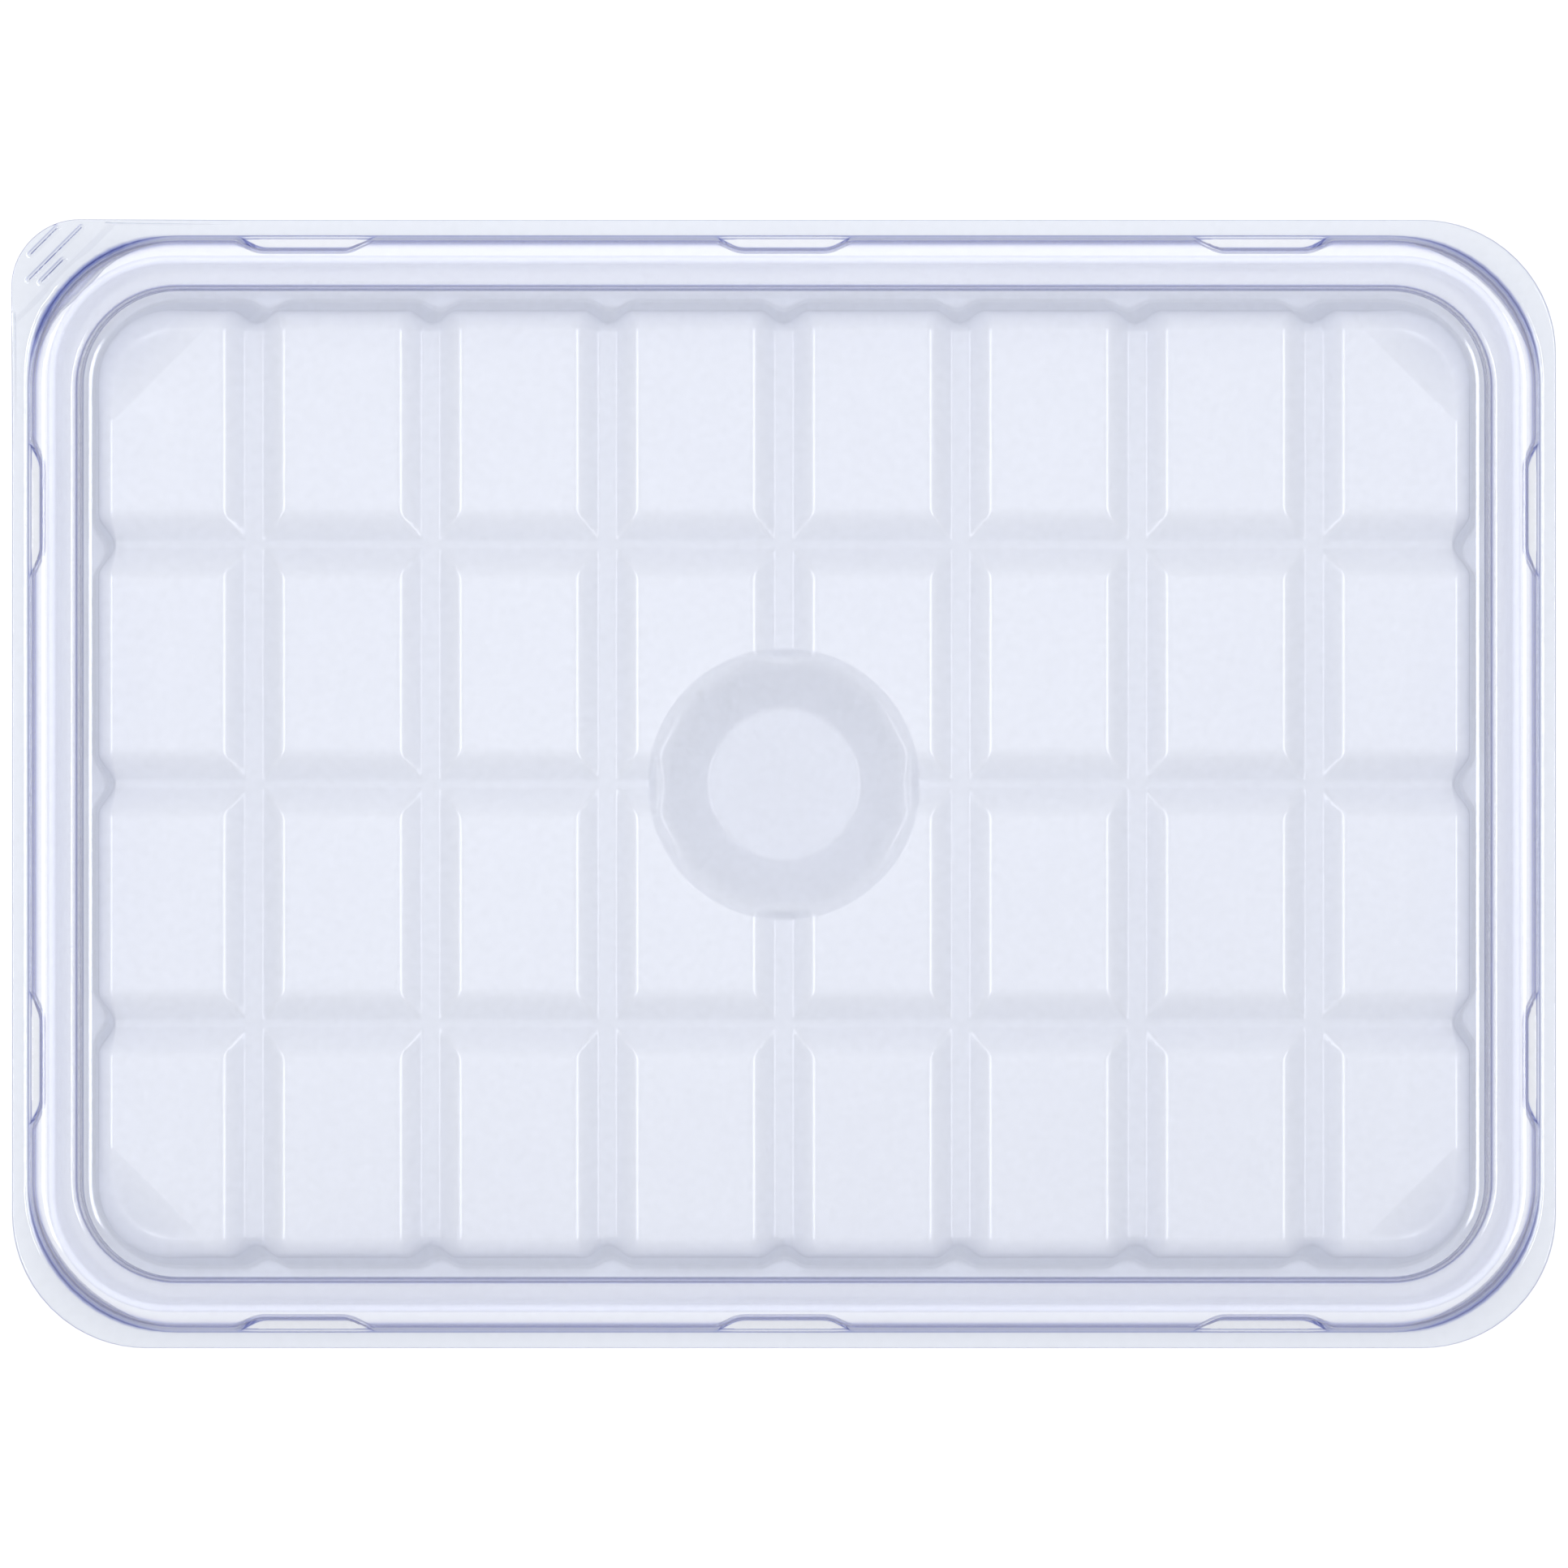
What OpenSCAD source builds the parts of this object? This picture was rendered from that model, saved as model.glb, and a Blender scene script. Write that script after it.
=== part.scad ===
// Humidity dome tray for cuttings and seedlings, in two formed sheets.
// The white tray has a raised drainage platform, a sunken well and a gutter all round.
// The clear dome stands on the tray's rim, and its notched skirt hangs outside the rim.
// Millimetres, +Z up. The origin is at the centre of the footprint, on the table.

/* [Overall] */
// Length over the dome's flange
length = 260; // [250:1:300]
// Width over the dome's flange
width = 190; // [184:1:220]
// Height of the closed set
height = 60; // [50:1:90]

/* [Tray] */
// Thickness of the tray's sheet
tray_sheet = 0.6; // [0.4:0.1:0.8]
// Height of the rim above the table
rim_height = 21; // [20.5:0.1:24]
// How far the rim stands in from the flange's edge at the two ends
rim_end_setback = 8; // [8:0.1:9]
// How far the rim stands in from the flange's edge along the two sides
rim_side_setback = 7.5; // [7.5:0.1:8.5]
// Corner radius of the rim
rim_radius = 20; // [16:0.5:22]
// How far the outer wall leans out from foot to rim
wall_draft = 0.6; // [0.3:0.1:1]

/* [Platform] */
// Height of the platform's pads above the table
platform_height = 20; // [19:0.5:20]
// Width of the gutter's floor at the two ends
end_gutter = 2.6; // [2.4:0.1:4]
// Width of the gutter's floor along the two sides
side_gutter = 3.5; // [2.4:0.1:4]
// How far the platform's wall leans in from foot to top
platform_draft = 4; // [3:0.1:5]
// Corner radius at the platform's foot
platform_radius = 15; // [12:0.5:18]
// Radius of the rounding round the platform's top
platform_rounding = 2.5; // [1:0.5:3]
// Drop of the slanted facet at each corner of the platform
facet_drop = 4; // [1:0.5:4]
// Length of a facet's line along each side, measured from the square corner
facet_leg = 21.4; // [18:0.2:26]

/* [Grooves] */
// Columns of pads along the length
columns = 8; // [4:2:8]
// Rows of pads across the width
rows = 4; // [2:2:4]
// Distance between neighbouring columns
column_pitch = 29.4; // [26:0.1:30]
// Distance between neighbouring rows
row_pitch = 39.9; // [36:0.1:41]
// Width of a groove at the pads' level
groove_width = 10; // [8:0.5:12]
// Width of the flat floor in a groove between two columns
column_floor = 3; // [1:0.1:4]
// Width of the flat floor in a groove between two rows
row_floor = 1.4; // [1:0.1:4]
// Depth of the grooves
groove_depth = 2.5; // [1:0.1:4]
// Radius of the flute that leads each groove down the platform's wall
flute_radius = 5; // [4:0.1:6]
// Depth of the flute at the platform's foot
flute_foot_depth = 1.5; // [1:0.1:2]
// Depth of the flute at the platform's top
flute_top_depth = 2.4; // [2:0.1:3]

/* [Well] */
// Radius of the well's mouth
well_mouth = 20.6; // [18:0.1:24]
// Radius of the well's flat floor
well_floor = 12.8; // [10:0.1:14]
// Depth of the well below the pads
well_depth = 8; // [4:0.5:12]

/* [Dome] */
// Thickness of the dome's sheet
dome_sheet = 0.5; // [0.3:0.1:0.6]
// Running gap between the dome and the tray
clearance = 0.3; // [0.3:0.1:0.4]
// Height of the flange's top face above the table
flange_height = 11; // [9:0.5:12]
// Width of the flange along the straight sides
flange_width = 2.6; // [2:0.1:3]
// Corner radius of the flange
flange_radius = 22.5; // [20:0.5:24]
// Lean of the skirt at the two ends, from the flange up to the ring
skirt_end_draft = 2.4; // [1:0.1:2.6]
// Lean of the skirt along the two sides
skirt_side_draft = 2; // [1:0.1:2.2]
// Width of the ring, from the skirt's top edge to the foot of the wall
ring_width = 8.2; // [7:0.1:9]
// Lean of the dome's wall at the two ends
end_draft = 7.5; // [6:0.1:10]
// Lean of the dome's wall along the two sides
side_draft = 5.1; // [4:0.1:8]
// Corner radius at the foot of the dome's wall
wall_radius = 16.6; // [14:0.1:18]
// Radius of the rounding round the dome's top
top_rounding = 2.5; // [2:0.5:4]

/* [Notches] */
// Notches along each long side
side_notches = 3; // [1:1:3]
// Distance between the notches of a long side
side_notch_pitch = 80; // [60:1:84]
// Distance between the two notches of an end
end_notch_pitch = 92; // [60:1:96]
// Length of a notch at the skirt's face
notch_length = 22.4; // [18:0.1:24]
// Length of a notch at its back
notch_back = 15.6; // [10:0.1:16]
// Depth of a notch into the skirt
notch_depth = 1.8; // [1:0.1:1.8]
// Height of the shelf at a notch's foot above the flange
notch_shelf = 2; // [1:0.5:4]

/* [Pull tab] */
// Corner radius of the pull tab
tab_radius = 11.5; // [8:0.5:16]
// Reach of the tab, from its fold line to the square corner, along each side
tab_leg = 17.7; // [16:0.1:18]
// Step up from the flange to the tab
tab_step = 0.7; // [0.6:0.1:1.5]
// Length of the long grip ridge
ridge_length = 12.4; // [8:0.1:13]
// Reach of the long ridge, along each side, from the square corner
ridge_leg = 13.2; // [12:0.1:14]
// Spacing of the grip ridges, along each side
ridge_spacing = 2.6; // [2:0.1:3]
// Radius of a grip ridge
ridge_radius = 0.45; // [0.3:0.05:0.45]

/* [Hidden] */
$fn = 64;

// Segments in each quarter turn of a rounded outline, and of a rounding in the section
corner_steps = 8;
rounding_steps = 3;
// Extra reach of a cutting shape past the face that it cuts
over = 2;

half = [length / 2, width / 2];

// A level is [half length, half width, height, corner radius]: one outline of a formed sheet.
// The outer faces of the tray, from the foot up
foot_rounding = 0.8;
rim_half = half - [rim_end_setback, rim_side_setback];
wall_foot = rim_half - [wall_draft, wall_draft];
wall_levels = concat(
    rounding(wall_foot, 0, rim_radius - wall_draft, foot_rounding, 270, 360, foot_rounding),
    [[rim_half[0], rim_half[1], rim_height, rim_radius]]);

platform_foot = wall_foot - [tray_sheet + end_gutter, tray_sheet + side_gutter];
platform_top = platform_foot - [platform_draft, platform_draft];
platform_top_radius = platform_radius - 0.75 * platform_draft;
platform_levels = concat(
    [[platform_foot[0], platform_foot[1], 0, platform_radius]],
    rounding(platform_top, platform_height - platform_rounding, platform_top_radius,
             platform_rounding, 0, 90, 0));

// The outer faces of the dome, from the flange up
seat_height = rim_height + clearance;
ring_height = seat_height + dome_sheet;
flange_foot = flange_height - dome_sheet;
skirt_rounding = 1.2;
skirt_foot = half - [flange_width, flange_width];
skirt_top = skirt_foot - [skirt_end_draft, skirt_side_draft];
skirt_radius = 25;
skirt_top_radius = skirt_radius - skirt_end_draft / 4;
dome_foot = skirt_top - [ring_width, ring_width];
dome_top = dome_foot - [end_draft, side_draft];
dome_top_radius = wall_radius - side_draft / 4;
dome_levels = concat(
    [[skirt_foot[0], skirt_foot[1], flange_foot, skirt_radius]],
    rounding(skirt_top, ring_height - skirt_rounding, skirt_top_radius, skirt_rounding, 0, 90, 0),
    rounding(dome_foot, ring_height, wall_radius, skirt_rounding, 270, 180, skirt_rounding,
             outward = true),
    rounding(dome_top, height - top_rounding, dome_top_radius, top_rounding, 0, 90, 0));

// Points of a rounded outline, anticlockwise, with a radius for each corner in turn
function outline(h, radii) = [
    for (corner = [0:3], i = [0:corner_steps])
        let (r = radii[corner],
             a = 90 * (corner + i / corner_steps),
             sx = corner == 0 || corner == 3 ? 1 : -1,
             sy = corner < 2 ? 1 : -1)
        [sx * (h[0] - r) + r * cos(a), sy * (h[1] - r) + r * sin(a)]];

// Levels round an arc of radius f in the section, which is tangent to the face at half size h.
// The arc's centre stands lift above z, inside the face, or outside it with outward set.
function rounding(h, z, radius, f, from, to, lift, outward = false) = [
    for (i = [0:rounding_steps])
        let (a = from + (to - from) * i / rounding_steps,
             out = (outward ? f : -f) + f * cos(a))
        [h[0] + out, h[1] + out, z + lift + f * sin(a), radius + out]];

// The same levels with every face moved outwards by out and up by rise
function moved(levels, out, rise) = [for (l = levels) l + [out, out, rise, out]];

// A solid whose outline passes through every level in turn
module loft(levels) {
    rings = [for (l = levels) [for (p = outline([l[0], l[1]], [l[3], l[3], l[3], l[3]]))
                               [p[0], p[1], l[2]]]];
    n = len(rings[0]);
    last = (len(rings) - 1) * n;
    polyhedron(
        points = [for (ring = rings) each ring],
        faces = concat(
            [[for (i = [0:n - 1]) i]],
            [for (k = [0:n:last - n], i = [0:n - 1]) let (j = (i + 1) % n) [k + i, k + n + i, k + n + j]],
            [for (k = [0:n:last - n], i = [0:n - 1]) let (j = (i + 1) % n) [k + i, k + n + j, k + j]],
            [[for (i = [n - 1:-1:0]) last + i]]));
}

// A groove along X, centred on Y = 0, with its mouth at Z = 0
module groove(run, floor_width) {
    slope = (groove_width - floor_width) / 2 / groove_depth;
    mouth = groove_width / 2 + slope * over;
    rotate([90, 0, 90])
        linear_extrude(run, center = true)
            polygon([[-mouth, over], [-floor_width / 2, -groove_depth],
                     [floor_width / 2, -groove_depth], [mouth, over]]);
}

// All grooves of the platform, with their mouths at Z = 0
module grooves() {
    for (i = [1 - columns / 2:columns / 2 - 1])
        translate([i * column_pitch, 0, 0]) rotate([0, 0, 90]) groove(width, column_floor);
    for (j = [1 - rows / 2:rows / 2 - 1])
        translate([0, j * row_pitch, 0]) groove(length, row_floor);
}

// The sunken well: a slope from the mouth at Z = 0 down to the flat floor
module well() {
    run = well_mouth - well_floor;
    translate([0, 0, -well_depth])
        cylinder(r1 = well_floor, r2 = well_mouth + run * over / well_depth, h = well_depth + over);
}

// Slanted cuts that take down the platform's four corners
module corner_facets() {
    inset = facet_leg / 2;
    reach = 40;
    for (sx = [-1, 1], sy = [-1, 1])
        translate([sx * (platform_top[0] - inset), sy * (platform_top[1] - inset), 0])
            rotate([0, 0, atan2(sy, sx)])
                rotate([0, atan2(facet_drop, facet_leg / 2), 0])
                    translate([0, -reach, 0]) cube([reach, 2 * reach, reach]);
}

// One round channel that leans down the platform's wall, at the middle of an end
module flute(foot, top, grow) {
    axis_foot = foot + flute_radius - flute_foot_depth;
    axis_top = top + flute_radius - flute_top_depth;
    lean = atan2(axis_foot - axis_top, platform_height);
    translate([axis_foot, 0, 0])
        rotate([0, -lean, 0])
            translate([0, 0, -2 * over])
                cylinder(r = flute_radius + grow, h = platform_height + 4 * over);
}

// A flute at both ends of every groove
module flutes(grow) {
    for (turn = [0, 180], j = [1 - rows / 2:rows / 2 - 1])
        rotate([0, 0, turn]) translate([0, j * row_pitch, 0])
            flute(platform_foot[0], platform_top[0], grow);
    for (turn = [90, 270], i = [1 - columns / 2:columns / 2 - 1])
        rotate([0, 0, turn]) translate([0, i * column_pitch, 0])
            flute(platform_foot[1], platform_top[1], grow);
}

// The platform as a solid block. With a sheet it is the hollow that the sheet leaves below.
module platform(sheet) {
    difference() {
        loft(moved(platform_levels, -sheet, -sheet));
        translate([0, 0, platform_height - sheet]) {
            grooves();
            well();
            corner_facets();
        }
        flutes(sheet);
    }
}

module tray() {
    color("white")
        difference() {
            union() {
                difference() {
                    loft(wall_levels);
                    loft(moved(wall_levels, -tray_sheet, tray_sheet));
                }
                platform(0);
            }
            platform(tray_sheet);
        }
}

// One notch: a wedge that leans with the skirt, at the middle of an end. grow adds a sheet to it.
module notch(face, draft, grow) {
    lean = atan2(draft, ring_height - flange_height);
    slope = (notch_length - notch_back) / 2 / notch_depth;
    back = notch_depth + grow;
    side = grow * sqrt(1 + slope * slope);
    half_mouth = notch_length / 2 + slope * over + side;
    half_back = notch_length / 2 - slope * back + side;
    translate([face, 0, flange_height])
        rotate([0, -lean, 0])
            translate([0, 0, notch_shelf - grow])
                linear_extrude(ring_height)
                    polygon([[over, -half_mouth], [over, half_mouth],
                             [-back, half_back], [-back, -half_back]]);
}

module notches(grow) {
    for (turn = [0, 180], j = [-0.5, 0.5])
        rotate([0, 0, turn]) translate([0, j * end_notch_pitch, 0])
            notch(skirt_foot[0], skirt_foot[0] - skirt_top[0], grow);
    for (turn = [90, 270], i = [0:side_notches - 1])
        rotate([0, 0, turn]) translate([0, (i - (side_notches - 1) / 2) * side_notch_pitch, 0])
            notch(skirt_foot[1], skirt_foot[1] - skirt_top[1], grow);
}

// Everything beyond the tab's fold line, which is a leg from the square corner
module beyond_fold(leg, low, high) {
    reach = 60;
    translate([-half[0] + leg / 2, half[1] - leg / 2, low])
        rotate([0, 0, 135])
            translate([0, -reach, 0]) cube([reach, 2 * reach, high - low]);
}

module flange() {
    difference() {
        union() {
            translate([0, 0, flange_foot]) linear_extrude(dome_sheet) flange_plan();
            intersection() {
                translate([0, 0, flange_foot]) linear_extrude(dome_sheet + tab_step) flange_plan();
                beyond_fold(tab_leg, 0, height);
            }
        }
        beyond_fold(tab_leg - 2 * dome_sheet, 0, flange_foot + tab_step);
    }
    for (i = [-1:1])
        let (leg = (ridge_leg + i * ridge_spacing) / 2)
            translate([leg - half[0], half[1] - leg, flange_height + tab_step])
                rotate([0, 0, 45])
                    ridge(i == 0 ? ridge_length : ridge_length / 2);
}

module flange_plan() {
    polygon(outline(half, [flange_radius, tab_radius, flange_radius, flange_radius]));
}

// A grip ridge along X with round ends
module ridge(run) {
    straight = run - 2 * ridge_radius;
    rotate([0, 90, 0]) cylinder(r = ridge_radius, h = straight, center = true, $fn = 24);
    for (x = [-straight / 2, straight / 2])
        translate([x, 0, 0]) sphere(ridge_radius, $fn = 24);
}

module dome() {
    color([0.8, 0.86, 0.95, 0.4])
        difference() {
            union() {
                flange();
                difference() {
                    loft(dome_levels);
                    notches(0);
                }
            }
            difference() {
                loft(moved(dome_levels, -dome_sheet, -dome_sheet));
                notches(dome_sheet);
            }
        }
}

tray();
dome();
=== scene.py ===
# %% [markdown]
# # A humidity dome tray, dressed around its CAD frame
# The object is two thin plastic sheets, each pressed into shape over a mould: a glossy white tray
# with a raised platform, and a clear dome that stands on the tray's rim. The CAD model settles every
# size. This script opens it as a frame and builds the two sheets again as fine, rounded meshes. A
# formed sheet has no sharp corner anywhere, and it is the soft rounding that the light picks out.

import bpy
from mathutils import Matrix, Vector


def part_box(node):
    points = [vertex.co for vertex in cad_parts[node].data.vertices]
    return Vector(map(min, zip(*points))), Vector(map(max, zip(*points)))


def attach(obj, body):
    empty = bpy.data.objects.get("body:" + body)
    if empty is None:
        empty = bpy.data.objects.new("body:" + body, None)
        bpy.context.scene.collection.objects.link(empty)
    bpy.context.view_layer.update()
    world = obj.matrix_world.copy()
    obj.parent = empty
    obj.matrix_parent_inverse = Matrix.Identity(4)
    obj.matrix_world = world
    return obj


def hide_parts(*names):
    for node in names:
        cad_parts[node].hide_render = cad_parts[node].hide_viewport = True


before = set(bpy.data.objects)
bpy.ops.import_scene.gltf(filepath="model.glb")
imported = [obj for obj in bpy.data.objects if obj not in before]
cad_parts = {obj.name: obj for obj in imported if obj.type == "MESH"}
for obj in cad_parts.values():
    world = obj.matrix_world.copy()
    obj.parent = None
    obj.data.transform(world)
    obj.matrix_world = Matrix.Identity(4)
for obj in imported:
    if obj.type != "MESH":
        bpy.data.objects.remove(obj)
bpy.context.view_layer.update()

# %% [markdown]
# ## Sizes
# Blender works in metres, but a tray is easier to think about in millimetres. So every shape is
# drawn in millimetres and the finished mesh is scaled down once. The outer sizes are read from the
# frame. What lies between them repeats the CAD design: a few driving numbers, and the rest follows.

# %% Read the outer sizes, in millimetres
import math

import bmesh
import bpy
from mathutils import Matrix, Vector

MM = 0.001


def half_size(node):
    """Half length, half width and top of a CAD node, in millimetres."""
    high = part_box(node)[1] / MM
    return Vector((high.x, high.y)), high.z


rim, rim_top = half_size("tray")
flange, dome_height = half_size("dome")
flange_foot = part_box("dome")[0].z / MM
print("rim", rim, "at", rim_top, "| flange", flange, "at", flange_foot, "| height", dome_height)

# %% Driving sizes of the tray's sheet
TRAY_SHEET = 0.6
RIM_RADIUS = 20.0
PLATFORM_TOP = rim_top - 1.0
PLATFORM_TOP_RADIUS, PLATFORM_FOOT_RADIUS = 12.0, 15.0
FOOT_SETBACK = Vector((3.8, 4.7))  # from the rim in to the platform's foot, at an end and at a side
PLATFORM_LEAN = Vector((4.0, 4.0))
SHOULDER_WIDTH = Vector((3.0, 3.6))
SHOULDER_DROP = 2.6
COLUMN_PITCH, ROW_PITCH = 29.4, 39.9
COLUMN_LINES, ROW_LINES = 3, 1  # grooves on either side of the middle one
GROOVE_MOUTH = 5.0  # this and the next two are half widths
COLUMN_FLOOR, ROW_FLOOR = 1.5, 0.7
GROOVE_DEPTH = 2.5
WELL_FLOOR, WELL_MOUTH, WELL_DEPTH = 12.8, 20.6, 8.0
FACET_DROP, FACET_LEG = 4.0, 21.4

platform_foot = rim - FOOT_SETBACK
platform_top = platform_foot - PLATFORM_LEAN
pads = platform_top - SHOULDER_WIDTH
print("platform foot", platform_foot, "top", platform_top, "pads reach", pads)

# %% [markdown]
# ## A grid with its lines where the shape needs them
# Both sheets start as one flat grid. `bmesh.ops.create_grid` makes even squares, and moving its lines
# to chosen stations puts close lines where the sheet bends and wide ones where it is flat. That keeps
# the mesh light, and every fold runs along an edge, so no shadow crosses a face in steps. The four
# corners are then rounded by pulling each corner square into a quarter disc.


# %% Stations and the rounded grid
def both_sides(values):
    """The values and their negatives, sorted, each once."""
    return sorted({round(sign * v, 4) for v in values for sign in (1, -1)})


def spread(start, end, count):
    """Even steps from start to end, both included."""
    return [start + (end - start) * i / count for i in range(count + 1)]


def into_quarter_disc(co, half, radius):
    """A point of the rectangle, with the square at each corner pulled into a quarter disc."""
    core = half - Vector((radius, radius))
    u = (abs(co.x) - core.x) / radius
    v = (abs(co.y) - core.y) / radius
    if u <= 0 or v <= 0:
        return co
    x = core.x + radius * u * math.sqrt(1 - v * v / 2)
    y = core.y + radius * v * math.sqrt(1 - u * u / 2)
    return Vector((math.copysign(x, co.x), math.copysign(y, co.y), co.z))


def rounded_grid(xs, ys, half, radius):
    """A bmesh grid with its lines at xs and ys, rounded to the outline. home keeps each place."""
    bm = bmesh.new()
    bm.verts.layers.float_vector.new("home")
    home = bm.verts.layers.float_vector["home"]
    columns, rows = len(xs) - 1, len(ys) - 1
    bmesh.ops.create_grid(bm, x_segments=columns, y_segments=rows, size=1)
    for v in bm.verts:
        flat = Vector((xs[round((v.co.x + 1) / 2 * columns)], ys[round((v.co.y + 1) / 2 * rows)], 0))
        v.co = into_quarter_disc(flat, half, radius)
        v[home] = v.co
    print("grid of", len(bm.faces), "faces over", half * 2)
    return bm


# %% [markdown]
# ## Rings that grow from the grid's edge
# From the edge of the grid outwards, the sheet is a profile that runs round the tray: wall, gutter,
# wall, rim. Extruding the edge loop again and again makes it, one ring for each level of the profile.
# A level is a half size, a height and a corner radius, the same idea as in the CAD source. Each new
# vertex remembers its place on the grid's edge, its home, so it can always be sent to the same spot
# on the next outline.


# %% Levels and rings
def level(half, z, radius):
    """One outline of the profile: its half size, height and corner radius."""
    return {"half": Vector(half), "z": z, "radius": radius}


def arc_levels(half, z, radius, bend, start, end, steps=4, side=-1):
    """Levels round an arc of the section, tangent to the face at half, inside it for side -1."""
    made = []
    for i in range(steps + 1):
        turn = math.radians(start + (end - start) * i / steps)
        out = side * bend + bend * math.cos(turn)
        made.append(level(half + Vector((out, out)), z + bend * math.sin(turn), radius + out))
    return made


def on_level(home, core, half, radius):
    """Where the vertex at home goes on the rounded outline of a level. core is the grid's own."""
    ax, ay = abs(home.x), abs(home.y)
    in_x, in_y = ax - core.x, ay - core.y
    if in_x >= -1e-3 and in_y >= -1e-3:
        turn = math.atan2(max(in_y, 0), max(in_x, 0))
        x = half.x - radius + radius * math.cos(turn)
        y = half.y - radius + radius * math.sin(turn)
    elif in_x > in_y:
        x, y = half.x, ay
    else:
        x, y = ax, half.y
    return Vector((math.copysign(x, home.x), math.copysign(y, home.y), 0))


def extrude_ring(bm, edges, place):
    """Extrudes a loop of open edges, and sends each new vertex to place(home)."""
    home = bm.verts.layers.float_vector["home"]
    made = bmesh.ops.extrude_edge_only(bm, edges=edges)["geom"]
    fresh = {v for v in made if isinstance(v, bmesh.types.BMVert)}
    for v in fresh:
        v.co = place(v[home])
    return [e for e in made if isinstance(e, bmesh.types.BMEdge) and set(e.verts) <= fresh]


def open_edges(bm, keep=lambda co: True):
    """The edges with a face on one side only, where keep says yes to both ends."""
    return [e for e in bm.edges if e.is_boundary and all(keep(v.co) for v in e.verts)]


def finish_sheet(bm, name, thickness, body, node, material):
    """Turns a bmesh in millimetres into a smooth piece with a wall, which rides on its body."""
    bmesh.ops.recalc_face_normals(bm, faces=bm.faces)
    bm.faces.ensure_lookup_table()
    highest = max(bm.faces, key=lambda f: f.calc_center_median().z)
    if highest.normal.z < 0:
        bmesh.ops.reverse_faces(bm, faces=bm.faces)
    bmesh.ops.transform(bm, matrix=Matrix.Scale(MM, 4), verts=bm.verts)
    mesh = bpy.data.meshes.new(name)
    bm.to_mesh(mesh)
    bm.free()
    mesh.shade_smooth()
    piece = bpy.data.objects.new(name, mesh)
    bpy.context.scene.collection.objects.link(piece)
    wall = piece.modifiers.new("sheet", "SOLIDIFY")
    wall.thickness = thickness * MM
    wall.offset = -1
    wall.use_even_offset = True
    mesh.materials.append(material)
    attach(piece, body)
    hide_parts(node)
    print(name, "has", len(mesh.polygons), "faces before its wall")
    return piece


# %% [markdown]
# ## Materials
# Three small helpers keep the node trees readable: one turns a hex colour into the linear values that
# Blender wants, one adds a node with its settings and links, and one starts an empty material.


# %% Material helpers
def linear(hex_colour):
    """An sRGB hex colour as a linear RGBA tuple."""
    parts = [int(hex_colour[i : i + 2], 16) / 255 for i in (1, 3, 5)]
    return tuple(c / 12.92 if c <= 0.04045 else ((c + 0.055) / 1.055) ** 2.4 for c in parts) + (1.0,)


def add(tree, kind, links=None, **settings):
    """Adds a node. settings are its properties or inputs by name, links are inputs by name."""
    made = tree.nodes.new(kind)
    for name, value in settings.items():
        if hasattr(made, name):
            setattr(made, name, value)
        else:
            made.inputs[name.replace("_", " ")].default_value = value
    for name, source in (links or {}).items():
        tree.links.new(source, made.inputs[name])
    return made


def blank(name):
    """A material with only its output node."""
    made = bpy.data.materials.new(name)
    made.use_nodes = True
    made.node_tree.nodes.clear()
    return made, made.node_tree, made.node_tree.nodes.new("ShaderNodeOutputMaterial")


# %% [markdown]
# ### White polystyrene, thermoformed
# High-impact polystyrene sheet, pressed warm over a mould: an even, slightly bluish white with a
# soft gloss. Its refractive index is 1.59. The mould's grit-blasted face leaves a faint ripple, a few
# tenths of a millimetre apart, drawn here at about a millimetre so that it shows. It breaks the edge
# of a reflection a little.
#
# At six tenths of a millimetre the sheet lets some light through, and more of it down in the gutter,
# where the forming stretched it thinnest. That glow keeps a narrow channel from looking black. A
# Translucent shader gives it, mixed in by a share that grows as the sheet goes down. The well was
# stretched less than the gutter, so it has a share of its own.


# %% How much light the white sheet lets through
PAD_SHARE, WELL_SHARE, GUTTER_SHARE = 0.3, 0.6, 0.85
PAD_HEIGHT, GUTTER_HEIGHT = 19.5, 14.0  # from the one down to the other, the share grows


def glow_share(tree, place):
    """The part of the light that the sheet lets through, by height, and by distance for the well."""
    height = add(tree, "ShaderNodeSeparateXYZ", {"Vector": place}).outputs["Z"]
    by_height = add(tree, "ShaderNodeMapRange", {"Value": height}, From_Min=GUTTER_HEIGHT * MM,
                    From_Max=PAD_HEIGHT * MM, To_Min=GUTTER_SHARE, To_Max=PAD_SHARE)
    plan = add(tree, "ShaderNodeVectorMath", {0: place}, operation="MULTIPLY")
    plan.inputs[1].default_value = 1, 1, 0
    radius = add(tree, "ShaderNodeVectorMath", {0: plan.outputs[0]}, operation="LENGTH")
    past_well = add(tree, "ShaderNodeMath", {0: radius.outputs["Value"]}, operation="GREATER_THAN")
    past_well.inputs[1].default_value = (WELL_MOUTH + 2) * MM
    share = add(tree, "ShaderNodeMix", {0: past_well.outputs[0], 3: by_height.outputs[0]},
                data_type="FLOAT")
    share.inputs[2].default_value = WELL_SHARE
    return share.outputs[0]


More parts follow.
